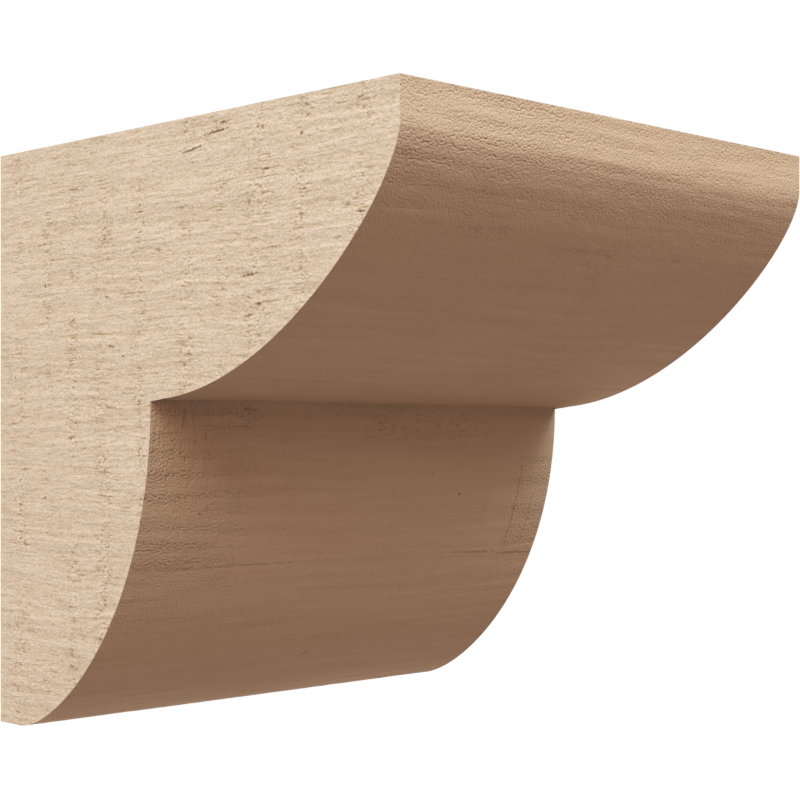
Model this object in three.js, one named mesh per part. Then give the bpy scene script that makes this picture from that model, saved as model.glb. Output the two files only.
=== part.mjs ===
// A square corbel, moulded in one piece to look like rough-sawn timber.
// Its side outline steps in from the front: an upright lip, an upper lobe that swells down and back
// to a sharp step, a lower lobe that swells down to the wall, and a narrow flat foot.
//
// Millimetres, +Z up. The origin is the centre of the flat back, which lies against the wall in
// the plane y = 0. The corbel stands out towards -Y and its width runs along X.
import * as THREE from "three";

// Driving dimensions
const SIDE = 203.2; // width, projection and height are all one side of a cube, 8 in
const LIP = 12.7; // height of the upright front lip, and depth of the flat foot, 1/2 in
const STEP = 88.9; // the step lies this far below the top and this far out from the wall, 3 1/2 in
const TIGHT_PULL = 19.05; // how far each lobe runs straight on from its lip or foot before it bends, 3/4 in
const UPPER_PULL = 61; // how far the upper lobe runs level into the step, 2.4 in
const LOWER_PULL = 76.2; // how far the lower lobe drops straight from the step, 3 in
const LOBE_SEGMENTS = 48; // flat facets along each lobe

// The finish: a tan primer coat, dull all over
const TAN = 0xd2b697;
const TAN_ROUGHNESS = 0.86;

const TOP = SIDE / 2;
const BOTTOM = -SIDE / 2;

// The side outline, with x out from the wall and y up from the middle of the back.
function sideOutline() {
  const stepLevel = TOP - STEP;
  const lipEnd = TOP - LIP;
  const outline = new THREE.Shape();
  outline.moveTo(0, BOTTOM);
  outline.lineTo(LIP, BOTTOM);
  outline.bezierCurveTo(LIP + TIGHT_PULL, BOTTOM, STEP, stepLevel - LOWER_PULL, STEP, stepLevel);
  outline.bezierCurveTo(STEP + UPPER_PULL, stepLevel, SIDE, lipEnd - TIGHT_PULL, SIDE, lipEnd);
  outline.lineTo(SIDE, TOP);
  outline.lineTo(0, TOP);
  outline.closePath();
  return outline;
}

// The block: the outline carried across the width, then turned so that the outline's x points to -Y
// and its y points to +Z.
function corbelBlock() {
  const geometry = new THREE.ExtrudeGeometry(sideOutline(), {
    depth: SIDE,
    bevelEnabled: false,
    curveSegments: LOBE_SEGMENTS,
  });
  geometry.translate(0, 0, -SIDE / 2);
  const primer = new THREE.MeshStandardMaterial({ color: TAN, roughness: TAN_ROUGHNESS, metalness: 0 });
  const block = new THREE.Mesh(geometry, primer);
  block.name = "corbel_block";
  block.rotation.set(Math.PI / 2, 0, -Math.PI / 2, "ZYX");
  return block;
}

const corbel = new THREE.Group();
corbel.add(corbelBlock());

export default corbel;
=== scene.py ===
import math

import bpy
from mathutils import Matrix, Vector


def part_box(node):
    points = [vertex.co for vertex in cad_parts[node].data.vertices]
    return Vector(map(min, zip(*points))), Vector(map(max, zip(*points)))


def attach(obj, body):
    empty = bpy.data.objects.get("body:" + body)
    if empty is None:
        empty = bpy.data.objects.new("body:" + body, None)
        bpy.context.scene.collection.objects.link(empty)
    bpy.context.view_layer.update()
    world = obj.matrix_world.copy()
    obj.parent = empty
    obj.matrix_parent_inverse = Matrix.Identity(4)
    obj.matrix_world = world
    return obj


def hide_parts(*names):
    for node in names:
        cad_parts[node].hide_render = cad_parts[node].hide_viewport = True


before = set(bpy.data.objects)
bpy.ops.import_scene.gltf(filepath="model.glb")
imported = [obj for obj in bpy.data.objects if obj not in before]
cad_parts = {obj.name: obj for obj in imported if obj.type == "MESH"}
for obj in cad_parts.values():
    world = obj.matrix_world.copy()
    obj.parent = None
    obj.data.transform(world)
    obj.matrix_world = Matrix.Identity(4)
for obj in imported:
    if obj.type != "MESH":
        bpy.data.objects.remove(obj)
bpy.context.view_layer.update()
scene = bpy.context.scene
mm = 0.001


# A socket of a node tree, so that sums on sockets read as sums and add their Math nodes.
class Value:
    def __init__(self, graph, socket):
        self.graph = graph
        self.socket = socket

    def maths(self, operation, *others):
        return self.graph.maths(operation, self, *others)

    def __add__(self, other):
        return self.maths("ADD", other)

    def __sub__(self, other):
        return self.maths("SUBTRACT", other)

    def __mul__(self, other):
        return self.maths("MULTIPLY", other)

    def __truediv__(self, other):
        return self.maths("DIVIDE", other)

    def __pow__(self, other):
        return self.maths("POWER", other)

    def __rsub__(self, other):
        return self.graph.maths("SUBTRACT", other, self)

    def __neg__(self):
        return self.maths("MULTIPLY", -1.0)

    __radd__ = __add__
    __rmul__ = __mul__

    def least(self, other):
        return self.maths("MINIMUM", other)

    def most(self, other):
        return self.maths("MAXIMUM", other)

    def ramp(self, low, high):  # 0 at low and 1 at high, smooth between
        sockets = {"Value": self, "From Min": low, "From Max": high}
        return self.graph.node("ShaderNodeMapRange", {"interpolation_type": "SMOOTHSTEP"}, sockets)

    def part(self, axis):  # X, Y or Z of a vector
        return self.graph.node("ShaderNodeSeparateXYZ", {}, {"Vector": self}, axis)


# A node tree of any kind, for materials, the sky and geometry.
class Graph:
    def __init__(self, tree):
        self.tree = tree

    def node(self, kind, settings, sockets, output=0):
        made = self.tree.nodes.new(kind)
        for name, setting in settings.items():
            setattr(made, name, setting)
        for name, given in sockets.items():
            self.plug(made.inputs[name], given)
        return Value(self, made.outputs[output])

    def plug(self, socket, given):
        if isinstance(given, Value):
            self.tree.links.new(given.socket, socket)
        else:
            socket.default_value = given

    def maths(self, operation, *given):
        return self.node("ShaderNodeMath", {"operation": operation}, dict(enumerate(given)))

    def vectors(self, operation, *given, output=0):
        return self.node("ShaderNodeVectorMath", {"operation": operation}, dict(enumerate(given)), output)

    def vector(self, x, y, z):
        return self.node("ShaderNodeCombineXYZ", {}, {"X": x, "Y": y, "Z": z})

    def blend(self, share, first, second):  # a colour between two
        return self.node("ShaderNodeMix", {"data_type": "RGBA"}, {0: share, 6: first, 7: second}, 2)

    # Noise drawn out along the grain, about -0.5 to 0.5. Places and sizes in millimetres.
    def grainNoise(self, along, across, seed, length, width, detail=0.0, roughness=0.5):
        place = self.vector(along / length, across / width, seed)
        sockets = {"Vector": place, "Scale": 1.0, "Detail": detail, "Roughness": roughness}
        return self.node("ShaderNodeTexNoise", {}, sockets, "Fac") - 0.5

    # The distance across the grain, wandering as the grain does.
    def bentGrain(self, along, across, seed):
        shift, length, width, reach = sawn["wander"]
        return across + self.grainNoise(along, across, seed + shift, length, width) * reach

    # Rounded grains set close together, about -0.5 to 0.25. Places and sizes in millimetres.
    def grains(self, along, across, seed, length, width):
        place = self.vector(along / length + seed, across / width, 0.0)
        sockets = {"Vector": place, "Scale": 1.0}
        apart = self.node("ShaderNodeTexVoronoi", {"voronoi_dimensions": "2D"}, sockets, "Distance")
        return 0.25 - apart * apart

    # How far a place is from a mark's middle: 1 at the edge of the mark.
    def markReach(self, grain, face, along, across, length, width, tilt):
        sockets = {
            "Vector": grain,
            "Location": (along, across, faceNumbers[face]),
            "Rotation": (0.0, 0.0, math.radians(tilt)),
            "Scale": (length, width, 0.01),  # the third keeps a mark to its own face
        }
        local = self.node("ShaderNodeMapping", {"vector_type": "TEXTURE"}, sockets)
        return self.vectors("LENGTH", local, output="Value")

    # Broken bands where the saw's strokes tore the fibres across the grain, 0 to 1.
    def sawBand(self, along, across, seed):
        ramp = self.node("ShaderNodeValToRGB", {}, {"Fac": (along / sawn["width"]).maths("FRACT")})
        stops = ramp.socket.node.color_ramp.elements
        stops[1].color = (0.0, 0.0, 0.0, 1.0)
        for middle, reach in sawn["strokes"]:
            for place, level in ((middle - reach, 0.0), (middle, 1.0), (middle + reach, 0.0)):
                stops.new(place / sawn["width"]).color = (level, level, level, 1.0)
        shift, length, width = sawn["gaps"]
        return ramp.part("X") * self.grainNoise(along, across, seed + shift, length, width).ramp(-0.1, 0.1)


# The sawn grain that the mesh and the finish share, in millimetres
sawn = {
    "width": 203.2,
    "wander": (3.1, 40.0, 14.0, 3.0),  # seed, cell length, cell width and reach of the grain's bends
    "gaps": (20.5, 12.0, 18.0),  # seed, cell length and cell width of the gaps in the saw's bands
    "faceSeed": 17.3,  # how far apart the seeds of two faces are
    "strokes": [  # the middle and reach of each stroke across the grain
        (13.0, 6.0), (30.0, 4.0), (45.5, 6.0), (63.0, 8.0), (83.0, 5.0),
        (108.0, 7.0), (125.5, 6.0), (142.0, 9.0), (162.0, 6.0), (187.0, 7.0),
    ],
}
faceNumbers = {"front": 0.0, "left": 1.0, "right": 2.0, "top": 3.0, "foot": 4.0, "back": 5.0}

# The camera: level, turned 45 degrees to the block, with its middle line below the picture's
cameraView = {
    "cornerDistance": 0.48836,  # to the near upright edge
    "height": -0.0004,
    "turn": -45.0,
    "focalPixels": 1756.8,
    "framePixels": 800.0,
    "dropPixels": 39.94,  # how far the horizon lies below the middle of the picture
}


def addCamera(view, corner):
    camera = bpy.data.cameras.new("photoCamera")
    camera.sensor_width = 36.0
    camera.lens = view["focalPixels"] / view["framePixels"] * camera.sensor_width
    camera.shift_y = view["dropPixels"] / view["framePixels"]
    camera.clip_start = 0.01
    placed = bpy.data.objects.new("photoCamera", camera)
    turn = math.radians(view["turn"])
    back = Vector((math.sin(turn), -math.cos(turn), 0.0))
    placed.location = Vector((corner.x, corner.y, 0.0)) + back * view["cornerDistance"]
    placed.location.z = view["height"]
    placed.rotation_euler = (math.pi / 2, 0.0, turn)
    scene.collection.objects.link(placed)
    scene.camera = placed


blockLow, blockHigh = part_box("corbel_block")
addCamera(cameraView, blockLow)
print("camera placed")


# The studio: one soft key from the upper left, and soft glows round it, white behind the object
studio = {
    "key": {
        "towards": (-0.58, -0.34, 0.74),
        "distance": 1.3,
        "width": 0.9,
        "colour": (7.45, 9.80, 10.95),
    },
    "glows": [  # direction and colour
        ((0.26, -0.57, 0.78), (7.55, 7.42, 6.58)),
        ((-0.89, 0.45, 0.09), (4.32, 5.91, 7.18)),
        ((0.34, 0.67, -0.66), (4.40, 3.54, 2.99)),
        ((0.03, -0.32, 0.95), (0.14, 1.80, 3.86)),
        ((-0.58, -0.34, 0.74), (3.77, 1.83, 0.00)),
        ((0.89, -0.15, -0.43), (1.81, 1.65, 1.67)),
        ((-0.70, -0.71, -0.14), (1.90, 1.46, 1.32)),
        ((-0.75, -0.58, 0.30), (1.92, 0.66, 0.18)),
        ((0.50, -0.02, -0.86), (1.01, 0.34, 0.02)),
    ],
    "narrowness": 16.0,  # of the glows
    "floorDrop": 0.30,  # below the foot
    "floorRadius": 0.85,
    "floorCorners": 96,
    "floorColour": (0.86, 0.85, 0.83, 1.0),
    "floorRoughness": 0.9,
}


def addKey(key, middle):
    lamp = bpy.data.lights.new("key", "AREA")
    lamp.shape = "DISK"
    lamp.size = key["width"]
    lamp.energy = max(key["colour"])
    lamp.color = [part / lamp.energy for part in key["colour"]]
    towards = Vector(key["towards"]).normalized()
    placed = bpy.data.objects.new("key", lamp)
    placed.location = middle + towards * key["distance"]
    placed.rotation_euler = towards.to_track_quat("Z", "Y").to_euler()
    placed.visible_camera = False
    scene.collection.objects.link(placed)


def addSky(glows, narrowness):
    world = bpy.data.worlds.new("studio")
    world.use_nodes = True
    scene.world = world
    graph = Graph(world.node_tree)
    direction = graph.node("ShaderNodeTexCoord", {}, {}, "Generated")
    light = None
    for towards, colour in glows:
        facing = graph.vectors("DOT_PRODUCT", direction, Vector(towards).normalized(), output="Value")
        strength = facing.most(0.0) ** narrowness
        glow = graph.vectors("MULTIPLY", graph.vector(strength, strength, strength), colour)
        light = glow if light is None else graph.vectors("ADD", light, glow)
    seen = graph.node("ShaderNodeLightPath", {}, {}, "Is Camera Ray")
    shown = graph.blend(seen, light, (1.0, 1.0, 1.0, 1.0))
    background = world.node_tree.nodes["Background"]
    graph.plug(background.inputs["Color"], shown)


def addFloor(values, foot):
    floor = bpy.data.meshes.new("floor")
    corners = values["floorCorners"]
    radius = values["floorRadius"]
    level = foot - values["floorDrop"]
    turns = [2 * math.pi * corner / corners for corner in range(corners)]
    ring = [(math.cos(turn) * radius, math.sin(turn) * radius, level) for turn in turns]
    floor.from_pydata(ring, [], [tuple(range(corners))])
    paint = bpy.data.materials.new("paleFloor")
    paint.use_nodes = True
    shader = paint.node_tree.nodes["Principled BSDF"]
    shader.inputs["Base Color"].default_value = values["floorColour"]
    shader.inputs["Roughness"].default_value = values["floorRoughness"]
    graph = Graph(paint.node_tree)
    painted = Value(graph, shader.outputs[0])
    below = graph.node("ShaderNodeNewGeometry", {}, {}, "Backfacing")  # see-through from below
    clear = graph.node("ShaderNodeBsdfTransparent", {}, {})
    shown = graph.node("ShaderNodeMixShader", {}, {0: below, 1: painted, 2: clear})
    graph.plug(paint.node_tree.nodes["Material Output"].inputs["Surface"], shown)
    floor.materials.append(paint)
    placed = bpy.data.objects.new("floor", floor)
    placed.visible_diffuse = False  # it neither shades nor tints the corbel from below
    placed.visible_glossy = False
    placed.visible_shadow = False
    scene.collection.objects.link(placed)


scene.view_settings.view_transform = "Standard"
addKey(studio["key"], (blockLow + blockHigh) / 2)
addSky(studio["glows"], studio["narrowness"])
addFloor(studio, blockLow.z)
print("studio lit")


# The corbel's rough-sawn tan finish. Its patterns read the grain attribute, which holds the distance
# along the grain and across it in millimetres, and the number of the face.
# Its colour also carries painted shade: darker in the relief's hollows, chips, pits and gouges.
finish = {
    "tan": (0.633, 0.513, 0.386, 1.0),
    # the grain's darker tone, and painted shade for the hollows of the relief
    "darkToneAndShade": (0.285, 0.164, 0.046, 1.0),
    # painted shade inside the pits, gouges, cuts and cracks of the marks
    "pitShade": (0.17, 0.09, 0.036, 1.0),
    # painted shade inside the small chips of the torn places on the front
    "chipShade": (0.31, 0.235, 0.165, 1.0),
    "roughness": 0.86,
    "roughnessSpread": 0.1,
    "specular": 0.3,
    # noise patterns: seed, cell length and cell width in millimetres, detail and its strength
    "patterns": {
        "grit": (11.3, 1.0, 0.8, 1.0, 0.5),
        "fibres": (12.9, 4.5, 0.9, 1.5, 0.6),
        "streaks": (6.1, 18.0, 1.0, 1.0, 0.5),
        "splits": (7.7, 14.0, 0.8, 0.5, 0.5),
        "chips": (15.6, 2.4, 0.9, 1.0, 0.5),
        "stripes": (25.1, 1.3, 9.0, 1.0, 0.5),
        "mottle": (30.2, 60.0, 4.0, 1.0, 0.5),
    },
    "grainCells": (40.3, 1.0, 0.78),  # seed, length and width of the rounded grains
    # where a pattern's valleys begin to show and where they show in full
    "valleys": {"splits": (-0.19, -0.27), "dashes": (-0.12, -0.25), "chips": (-0.06, -0.18)},
    # heights of the bump in millimetres
    "heights": {
        "grit": 0.32,
        "grains": 0.142,
        "fibres": 0.12,
        "streaks": 0.10,
        "stripes": 0.05,
        "swells": 0.45,
        "dashes": 0.06,
    },
    # how far the tan goes towards the dark colour: everywhere, as the grain's own darker tone, then by
    # pattern, as painted shade where each pattern is low, with some of the grain's own tone in the mottle
    "toneAndShade": {
        "everywhere": 0.22,
        "grit": 0.65,
        "fibres": 0.45,
        "streaks": 0.55,
        "mottle": 0.25,
        "dashes": 0.2,
        "splits": 0.4,
        "chips": 0.65,
    },
    # uneven places: face, along, across, half length, half width, how much rougher, how torn
    "patches": [
        ("front", -88.0, -190.0, 46.0, 48.0, 1.7, 0.0),
        ("front", -72.0, -10.0, 50.0, 24.0, 0.45, 0.0),
        ("front", 0.0, -21.0, 120.0, 10.0, 0.2, 0.0),
        ("front", 40.0, -215.0, 110.0, 70.0, -0.4, 0.0),
        ("front", 92.0, -197.0, 19.0, 27.0, 1.8, 0.15),
        ("front", -63.0, -162.5, 12.0, 5.0, 0.5, 0.6),
        ("front", 25.0, -165.0, 52.0, 11.0, 0.3, 0.35),
        ("front", -46.0, -44.0, 26.0, 7.0, 0.0, 0.2),
        ("front", 4.0, -48.0, 22.0, 8.0, 0.0, 0.27),
        ("front", 42.0, -43.0, 26.0, 7.0, 0.0, 0.2),
        ("front", 28.0, -84.0, 46.0, 18.0, 0.0, 0.12),
        ("left", 142.0, 78.0, 10.0, 20.0, 0.2, 0.7),
        ("left", 141.0, 38.0, 11.0, 12.0, 0.2, 0.6),
        ("left", 46.0, 79.0, 7.0, 8.0, 0.0, 0.6),
        ("left", 66.0, -13.0, 8.0, 11.0, 0.0, 0.5),
        ("left", 15.0, -66.0, 8.0, 24.0, 0.0, 0.5),
    ],
    "longMark": 8.0,  # half length above which a mark is broken by the fibres
    # marks: face, along, across, half length, half width, tilt in degrees, darkness. A mark's darkness is
    # painted shade inside a pit, gouge, cut or crack that has no bump of its own
    "marks": [
        ("left", 28.5, 53.2, 0.55, 0.5, 0.0, 0.9),
        ("left", 74.2, 27.3, 0.6, 0.5, 0.0, 0.9),
        ("left", 144.5, 94.0, 0.6, 0.5, 0.0, 0.8),
        ("left", 162.2, 90.0, 0.7, 0.5, 0.0, 0.8),
        ("left", 125.8, 97.9, 2.0, 0.5, -3.0, 0.9),
        ("left", 28.5, -20.3, 0.6, 0.6, 0.0, 0.95),
        ("left", 29.8, -32.7, 0.45, 0.4, 0.0, 0.8),
        ("left", 31.6, -61.5, 0.5, 0.45, 0.0, 0.75),
        ("left", 9.6, -21.4, 0.4, 0.4, 0.0, 0.7),
        ("left", 9.6, 21.7, 0.4, 0.35, 0.0, 0.7),
        ("left", 110.6, 91.2, 5.6, 0.4, 8.0, 0.8),
        ("left", 122.7, 95.4, 6.4, 0.42, 4.0, 0.95),
        ("left", 138.9, 49.9, 5.2, 0.45, 4.0, 0.85),
        ("left", 66.7, 31.0, 2.7, 0.5, -8.0, 0.6),
        ("left", 67.3, 10.4, 4.6, 0.4, -6.0, 0.5),
        ("left", 44.8, 85.1, 4.5, 0.4, -5.0, 0.6),
        ("left", 64.8, 47.3, 2.1, 0.45, -8.0, 0.7),
        ("left", 146.1, 81.3, 1.7, 0.45, 0.0, 0.9),
        ("left", 143.0, 40.8, 1.1, 0.5, -7.0, 0.9),
        ("left", 138.3, 37.5, 1.9, 0.45, 7.0, 0.7),
        ("left", 44.5, 40.1, 2.2, 0.5, 18.0, 0.6),
        ("left", 92.9, 61.0, 2.0, 0.5, -10.0, 0.6),
        ("left", 59.6, -43.3, 2.0, 0.5, -3.0, 0.5),
        ("left", 16.1, -37.0, 1.8, 0.5, -5.0, 0.6),
        ("left", 187.5, 64.8, 2.4, 0.42, -4.0, 0.85),
        ("left", 181.8, 67.2, 1.9, 0.42, -1.0, 0.6),
        ("front", 3.3, -167.5, 0.9, 0.4, 0.0, 0.7),
        ("front", -88.0, -164.2, 3.6, 0.55, 82.0, 0.28),
        ("front", -84.0, -164.0, 2.2, 0.45, 88.0, 0.3),
        ("front", -78.5, -170.5, 1.6, 0.4, 86.0, 0.4),
        ("front", -66.0, -166.8, 9.0, 0.4, 1.0, 0.2),
        ("front", -95.0, -169.0, 6.8, 0.35, 2.0, 0.3),
        ("front", 49.2, -192.4, 0.55, 0.5, 0.0, 0.9),
        ("front", 32.4, -184.2, 0.5, 0.45, 0.0, 0.6),
        ("front", -77.4, -196.5, 0.6, 0.5, 0.0, 0.7),
        ("front", -37.3, -203.3, 0.45, 0.4, 0.0, 0.5),
        ("front", -57.0, -216.6, 38.0, 0.4, 0.3, 0.3),
        ("front", 66.0, -217.3, 15.0, 0.5, -1.5, 0.45),
        ("front", 90.7, -218.7, 10.0, 0.5, -1.5, 0.5),
        ("front", 0.4, -263.0, 1.8, 0.6, 40.0, 0.5),
        ("front", 83.0, -197.0, 20.0, 0.45, 89.0, 0.36),
        ("front", 92.5, -205.0, 14.0, 0.4, 88.5, 0.26),
        ("front", -51.0, -41.4, 12.0, 1.4, 2.0, 0.1),
        ("front", 4.0, -45.2, 18.0, 1.4, 1.0, 0.1),
        ("front", 60.0, -25.8, 30.0, 1.5, 0.0, 0.12),
    ],
}


def sawnTan(values):
    material = bpy.data.materials.new("roughSawnTan")
    material.use_nodes = True
    graph = Graph(material.node_tree)
    shader = material.node_tree.nodes["Principled BSDF"]
    grain = graph.node("ShaderNodeAttribute", {"attribute_name": "grain"}, {}, "Vector")
    along, across, face = (grain.part(axis) for axis in "XYZ")
    seed = face * sawn["faceSeed"]
    bent = graph.bentGrain(along, across, seed)
    band = graph.sawBand(along, across, seed)
    sides = (face - 1.5).maths("ABSOLUTE").ramp(1.0, 0.6)  # 1 on the two sides, 0 on the other faces
    heights, toneAndShade, valleys = values["heights"], values["toneAndShade"], values["valleys"]

    def pattern(name, crossing):
        shift, length, width, detail, strength = values["patterns"][name]
        return graph.grainNoise(along, crossing, seed + shift, length, width, detail, strength)

    rough = 1.0
    tornness = 0.0
    for name, patchAlong, patchAcross, length, width, rougher, torn in values["patches"]:
        reach = graph.markReach(grain, name, patchAlong, patchAcross, length, width, 0.0)
        if rougher:
            rough = rough + reach.ramp(1.1, 0.5) * rougher
        if torn:
            tornness = (reach.ramp(1.1, 0.3) * torn).most(tornness)
    band = band.most(tornness)
    # the painted shade of the relief is strongest on the two sides and weakest on the front, which lies
    # mostly in shade
    toneAndShadeContrast = sides * 0.8 + 0.2  # how much the colour varies
    fibrous = sides * 0.85 + 0.15  # how much of the roughness runs along the grain
    gritty = sides * 0.42 + 0.58  # how much of it is grit
    stronger = band * 0.5 + 1.0  # in the saw's bands and the torn places
    grainSeed, grainLength, grainWidth = values["grainCells"]
    grains = graph.grains(along, across, seed + grainSeed, grainLength, grainWidth)
    grit = pattern("grit", bent)
    fibres = pattern("fibres", bent)
    streaks = pattern("streaks", bent)
    splits = pattern("splits", bent).ramp(*valleys["splits"]) * toneAndShadeContrast
    dashes = fibres.ramp(*valleys["dashes"]) * toneAndShadeContrast
    chips = pattern("chips", bent).ramp(*valleys["chips"])
    # painted shade inside the chips, which have no bump of their own
    chipShades = chips * tornness * (1.0 - sides)  # chips on the torn places of the front
    chips = chips * band * toneAndShadeContrast
    stripes = pattern("stripes", across)
    mottle = pattern("mottle", bent)
    height = (grit * gritty * heights["grit"] + fibres * fibrous * heights["fibres"]) * stronger
    height = height + streaks * fibrous * heights["streaks"] - dashes * heights["dashes"]
    height = height * (rough.least(1.0) - sides * 0.2)
    grains = grains * (mottle.ramp(0.15, -0.15) * 0.8 + 0.6) * (1.0 - sides * 0.7)  # most in the hollows
    height = height + (grains * heights["grains"] + stripes * rough * heights["stripes"]) * rough
    height = height + mottle * heights["swells"]
    # dark marks: painted shade inside pits, gouges, cuts and cracks
    marks = None
    ragged = grit * 2.0  # the edges of the marks are uneven
    broken = ragged + fibres * 2.4  # the long marks come and go
    for name, markAlong, markAcross, length, width, tilt, dark in values["marks"]:
        reach = graph.markReach(grain, name, markAlong, markAcross, length, width, tilt)
        reach = reach + (broken if length > values["longMark"] else ragged)
        mark = reach.ramp(1.2, 0.5) * dark
        marks = mark if marks is None else marks.most(mark)
    bump = graph.node("ShaderNodeBump", {}, {"Strength": 1.0, "Distance": mm, "Height": height})
    # painted shade: the colour darkens where the grit, fibres, streaks and mottle are low, and in the
    # dashes, splits and chips, for the shade in the relief's hollows; the steady part is the grain's own
    # tone
    grained = grit * toneAndShade["grit"] + fibres * toneAndShade["fibres"] + streaks * toneAndShade["streaks"]
    toneAndShadeMix = toneAndShade["everywhere"] - sides * 0.02 - grained * stronger * toneAndShadeContrast
    toneAndShadeMix = toneAndShadeMix - mottle * (toneAndShade["mottle"] - sides * 0.13)
    toneAndShadeMix = toneAndShadeMix + dashes * toneAndShade["dashes"] + splits * toneAndShade["splits"] + chips * toneAndShade["chips"]
    colour = graph.blend(toneAndShadeMix.most(0.0), values["tan"], values["darkToneAndShade"])
    colour = graph.blend(chipShades, colour, values["chipShade"])
    graph.plug(shader.inputs["Base Color"], graph.blend(marks, colour, values["pitShade"]))
    graph.plug(shader.inputs["Roughness"], values["roughness"] + grit * values["roughnessSpread"])
    shader.inputs["Specular IOR Level"].default_value = values["specular"]
    graph.plug(shader.inputs["Normal"], bump)
    return material


# The corbel block, from its side outline: a lip, an upper lobe and a lower lobe, then the flat foot
block = {
    "Side": 203.2 * mm,
    "Lip": 12.7 * mm,
    "Step": 88.9 * mm,
    "Tight pull": 19.05 * mm,
    "Upper pull": 61.0 * mm,
    "Lower pull": 76.2 * mm,
    "Relief": 1.0 * mm,
    "Edge fade": 3.0 * mm,
    "Lip rows": 12,
    "Lobe rows": 133,
    "Front columns": 180,
    "Left columns": 110,
    "Right columns": 54,
}
wholeNumbers = ("Lip rows", "Lobe rows", "Front columns", "Left columns", "Right columns")
# The relief of the mesh: seed, cell length and cell width in millimetres, and share of its height
reliefShape = {"ridges": (1.7, 6.0, 3.2, 0.25), "swells": (2.3, 60.0, 9.0, 0.25), "bandDepth": 0.06}
meshing = {
    "curvePoints": 160,  # along each lobe, before the rows are set out
    "weld": 0.01 * mm,
    "rimReach": 0.05 * mm,  # an open edge this near the top or the foot belongs to its rim
    "sharpAngle": 35.0,  # edges that turn by more degrees stay sharp
}
# The flat sheet of all faces, kept as the OFBake map, in millimetres
sheet = {
    "size": 440.0,
    "nest": 290.0,  # the two sides lie head to foot in this height
    "faces": {  # start to the right, start upwards, scale
        "front": (2.0, 2.0, 1.0),
        "left": (209.0, 2.0, 1.0),
        "right": (209.0, 2.0, 1.0),
        "top": (2.0, 312.0, 0.6),
        "back": (128.0, 312.0, 0.6),
        "foot": (254.0, 312.0, 0.7),
    },
}


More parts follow.
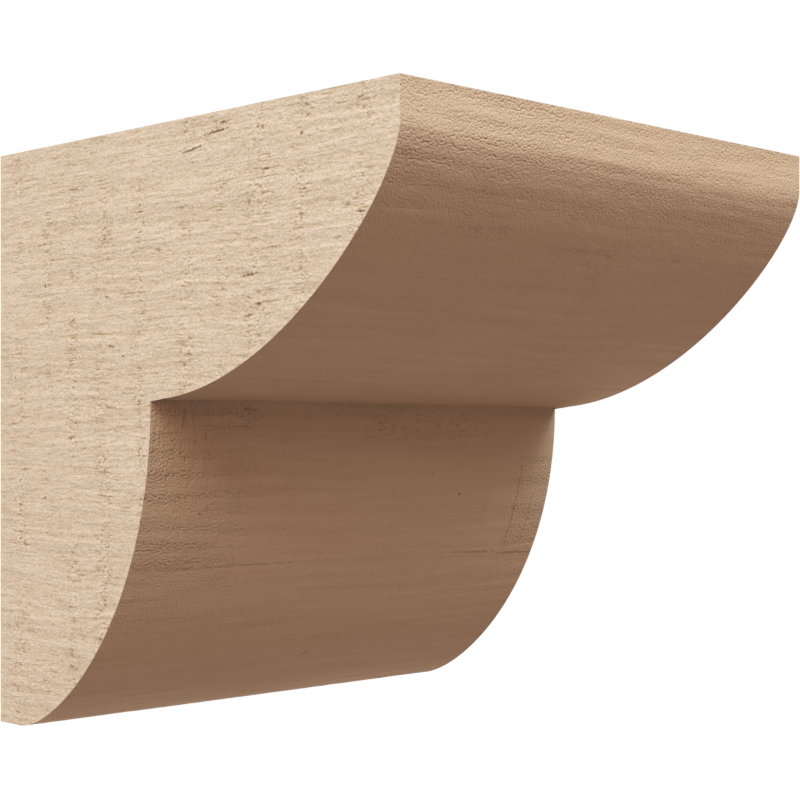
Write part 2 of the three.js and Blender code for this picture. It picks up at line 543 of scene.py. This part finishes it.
def blockTree(sizes):
    tree = bpy.data.node_groups.new("corbelBlock", "GeometryNodeTree")
    graph = Graph(tree)
    panel = tree.interface
    for name in sizes:
        kind = "NodeSocketInt" if name in wholeNumbers else "NodeSocketFloat"
        panel.new_socket(name, in_out="INPUT", socket_type=kind)
    panel.new_socket("Finish", in_out="INPUT", socket_type="NodeSocketMaterial")
    panel.new_socket("Block", in_out="OUTPUT", socket_type="NodeSocketGeometry")
    entry = tree.nodes.new("NodeGroupInput")
    given = {socket.name: Value(graph, socket) for socket in entry.outputs if socket.name}
    side, lip, step = given["Side"], given["Lip"], given["Step"]
    top = side / 2.0
    stepLevel = top - step
    lipEnd = top - lip
    tight = given["Tight pull"]

    def place(out, up):  # a point of the outline, out from the wall and up from the middle
        return graph.vector(0.0, -out, up)

    def lobe(start, startPull, endPull, end):
        sockets = {
            "Resolution": meshing["curvePoints"],
            "Start": start,
            "Start Handle": startPull,
            "End Handle": endPull,
            "End": end,
        }
        return graph.node("GeometryNodeCurvePrimitiveBezierSegment", {"mode": "POSITION"}, sockets)

    stepPoint = place(step, stepLevel)
    lipPoint = place(side, lipEnd)
    lipEnds = {"Start": place(side, top), "End": lipPoint}
    lipCurve = graph.node("GeometryNodeCurvePrimitiveLine", {}, lipEnds)
    upperPull = place(step + given["Upper pull"], stepLevel)
    upperCurve = lobe(lipPoint, place(side, lipEnd - tight), upperPull, stepPoint)
    lowerPull = place(step, stepLevel - given["Lower pull"])
    lowerCurve = lobe(stepPoint, lowerPull, place(lip + tight, -top), place(lip, -top))
    curves = [
        (lipCurve, given["Lip rows"]),
        (upperCurve, given["Lobe rows"]),
        (lowerCurve, given["Lobe rows"]),
    ]
    lengths = [graph.node("GeometryNodeCurveLength", {}, {"Curve": curve}) for curve, rows in curves]
    arc = lengths[0] + lengths[1] + lengths[2]
    stepArc = lengths[0] + lengths[1]

    def outlineAt(curve, share):  # a point of the outline and the outline's direction there
        sampled = {"Curves": curve, "Factor": share}
        point = graph.node("GeometryNodeSampleCurve", {"mode": "FACTOR"}, sampled, "Position")
        return point, Value(graph, point.socket.node.outputs["Tangent"])

    def patch(columns, rows):
        sockets = {"Size X": 1.0, "Size Y": 1.0, "Vertices X": columns, "Vertices Y": rows}
        mesh = graph.node("GeometryNodeMeshGrid", {}, sockets)
        return mesh, Value(graph, mesh.socket.node.outputs["UV Map"])

    def finished(mesh, position, grainPlace, sheetPlace, flip):
        mesh = graph.node("GeometryNodeSetPosition", {}, {"Geometry": mesh, "Position": position})
        for name, kind, stored in (("grain", "FLOAT_VECTOR", grainPlace), ("OFBake", "FLOAT2", sheetPlace)):
            settings = {"data_type": kind, "domain": "CORNER"}
            sockets = {"Geometry": mesh, "Name": name, "Value": stored}
            mesh = graph.node("GeometryNodeStoreNamedAttribute", settings, sockets)
        if flip:
            mesh = graph.node("GeometryNodeFlipFaces", {}, {"Mesh": mesh})
        return mesh

    def relief(along, across, number, edge):  # how far the sawn surface stands proud
        alongMm = along / mm
        acrossMm = across / mm
        seed = number * sawn["faceSeed"]
        bent = graph.bentGrain(alongMm, acrossMm, seed)
        band = graph.sawBand(alongMm, acrossMm, seed)
        shift, length, width, height = reliefShape["ridges"]
        ridges = graph.grainNoise(alongMm, bent, seed + shift, length, width, 1.0) * height
        shift, length, width, height = reliefShape["swells"]
        swells = graph.grainNoise(alongMm, acrossMm, seed + shift, length, width) * height
        fade = (edge / given["Edge fade"]).ramp(0.0, 1.0)
        return (ridges + swells - band * reliefShape["bandDepth"]) * given["Relief"] * fade

    def grainOf(along, across, name):
        return graph.vector(along / mm, across / mm, faceNumbers[name])

    def sheetOf(name, right, up):  # a place on the flat sheet of all faces
        startRight, startUp, scale = sheet["faces"][name]
        sheetRight = (right * (scale / mm) + startRight) / sheet["size"]
        sheetUp = (up * (scale / mm) + startUp) / sheet["size"]
        return graph.vector(sheetRight, sheetUp, 0.0)

    shell = []
    backs = []
    start = 0.0
    for (curve, rows), length in zip(curves, lengths):
        rowPoints = rows + 1.0
        # the front
        mesh, uv = patch(given["Front columns"] + 1.0, rowPoints)
        across = uv.part("Y") * length + start
        along = (uv.part("X") - 0.5) * side
        point, tangent = outlineAt(curve, uv.part("Y"))
        outward = graph.vectors("CROSS_PRODUCT", tangent, (1.0, 0.0, 0.0))
        edge = (top - along.maths("ABSOLUTE")).least(across).least(arc - across)
        edge = edge.least((across - stepArc).maths("ABSOLUTE"))
        lift = relief(along, -across, faceNumbers["front"], edge)
        position = graph.vectors("ADD", point, graph.vector(along, 0.0, 0.0))
        proud = graph.vectors("MULTIPLY", outward, graph.vector(lift, lift, lift))
        position = graph.vectors("ADD", position, proud)
        grainPlace = grainOf(along, -across, "front")
        sheetPlace = sheetOf("front", along + top, across)
        shell.append(finished(mesh, position, grainPlace, sheetPlace, True))
        # the two sides, in rows that fan from the wall to the outline
        for name, hand, columns in (("left", -1.0, "Left columns"), ("right", 1.0, "Right columns")):
            mesh, uv = patch(given[columns] + 1.0, rowPoints)
            across = uv.part("Y") * length + start
            point = outlineAt(curve, uv.part("Y"))[0]
            wallLevel = top - side * across / arc
            share = uv.part("X")
            out = -point.part("Y") * share
            up = wallLevel + (point.part("Z") - wallLevel) * share
            edge = out.least(-point.part("Y") - out).least(top - up).least(up + top)
            lift = relief(out, up, faceNumbers[name], edge)
            position = graph.vector((top + lift) * hand, -out, up)
            if hand < 0:
                sheetPlace = sheetOf(name, top - up, out)
            else:
                sheetPlace = sheetOf(name, top + up, sheet["nest"] * mm - out)
            shell.append(finished(mesh, position, grainOf(out, up, name), sheetPlace, hand < 0))
        # the flat back
        mesh, uv = patch(2, rowPoints)
        across = uv.part("Y") * length + start
        along = (uv.part("X") - 0.5) * side
        wallLevel = top - side * across / arc
        position = graph.vector(along, 0.0, wallLevel)
        grainPlace = grainOf(wallLevel, along, "back")
        sheetPlace = sheetOf("back", along + top, top - wallLevel)
        backs.append(finished(mesh, position, grainPlace, sheetPlace, False))
        start = length + start

    def joined(meshes):
        join = tree.nodes.new("GeometryNodeJoinGeometry")
        for mesh in meshes:
            tree.links.new(mesh.socket, join.inputs[0])
        welded = {"Geometry": Value(graph, join.outputs[0]), "Distance": meshing["weld"]}
        return graph.node("GeometryNodeMergeByDistance", {}, welded)

    openShell = joined(shell)
    position = graph.node("GeometryNodeInputPosition", {}, {})
    neighbours = graph.node("GeometryNodeInputMeshEdgeNeighbors", {}, {}, "Face Count")
    alone = neighbours.maths("LESS_THAN", 1.5)  # an open edge, with one face
    caps = []
    for name, level, flip in (("top", top, False), ("foot", -top, True)):
        near = (position.part("Z") - level).maths("ABSOLUTE").maths("LESS_THAN", meshing["rimReach"])
        outline = graph.node("GeometryNodeMeshToCurve", {}, {"Mesh": openShell, "Selection": near * alone})
        outline = graph.node("GeometryNodeSetSplineCyclic", {}, {"Geometry": outline, "Cyclic": True})
        cap = graph.node("GeometryNodeFillCurve", {"mode": "TRIANGLES"}, {"Curve": outline})
        lifted = graph.vectors("ADD", position, graph.vector(0.0, 0.0, level))
        along, out = position.part("X"), -position.part("Y")
        if name == "top":
            grainPlace = grainOf(out, along, name)
        else:
            grainPlace = grainOf(along, out - arc - lip, name)
        caps.append(finished(cap, lifted, grainPlace, sheetOf(name, along + top, out), flip))
    whole = joined([openShell, *backs, *caps])
    whole = graph.node("GeometryNodeRealizeInstances", {}, {"Geometry": whole})
    whole = graph.node("GeometryNodeSetMaterial", {}, {"Geometry": whole, "Material": given["Finish"]})
    leave = tree.nodes.new("NodeGroupOutput")
    graph.plug(leave.inputs["Block"], whole)
    return tree


def addBlock(sizes, material):
    tree = blockTree(sizes)
    blank = bpy.data.objects.new("blockDraft", bpy.data.meshes.new("blockDraft"))
    scene.collection.objects.link(blank)
    modifier = blank.modifiers.new("corbelBlock", "NODES")
    modifier.node_group = tree
    inputs = [item for item in tree.interface.items_tree if item.in_out == "INPUT"]
    identifiers = {item.name: item.identifier for item in inputs}
    for name, size in sizes.items():
        modifier[identifiers[name]] = size
    modifier[identifiers["Finish"]] = material
    evaluated = blank.evaluated_get(bpy.context.evaluated_depsgraph_get())
    mesh = bpy.data.meshes.new_from_object(evaluated)
    bpy.data.objects.remove(blank)
    mesh.name = "corbel"
    mesh.shade_smooth()
    mesh.set_sharp_from_angle(angle=math.radians(meshing["sharpAngle"]))
    piece = bpy.data.objects.new("corbel", mesh)
    scene.collection.objects.link(piece)
    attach(piece, "root")
    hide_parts("corbel_block")
    return piece


corbel = addBlock(block, sawnTan(finish))
print("corbel built:", len(corbel.data.polygons), "faces")
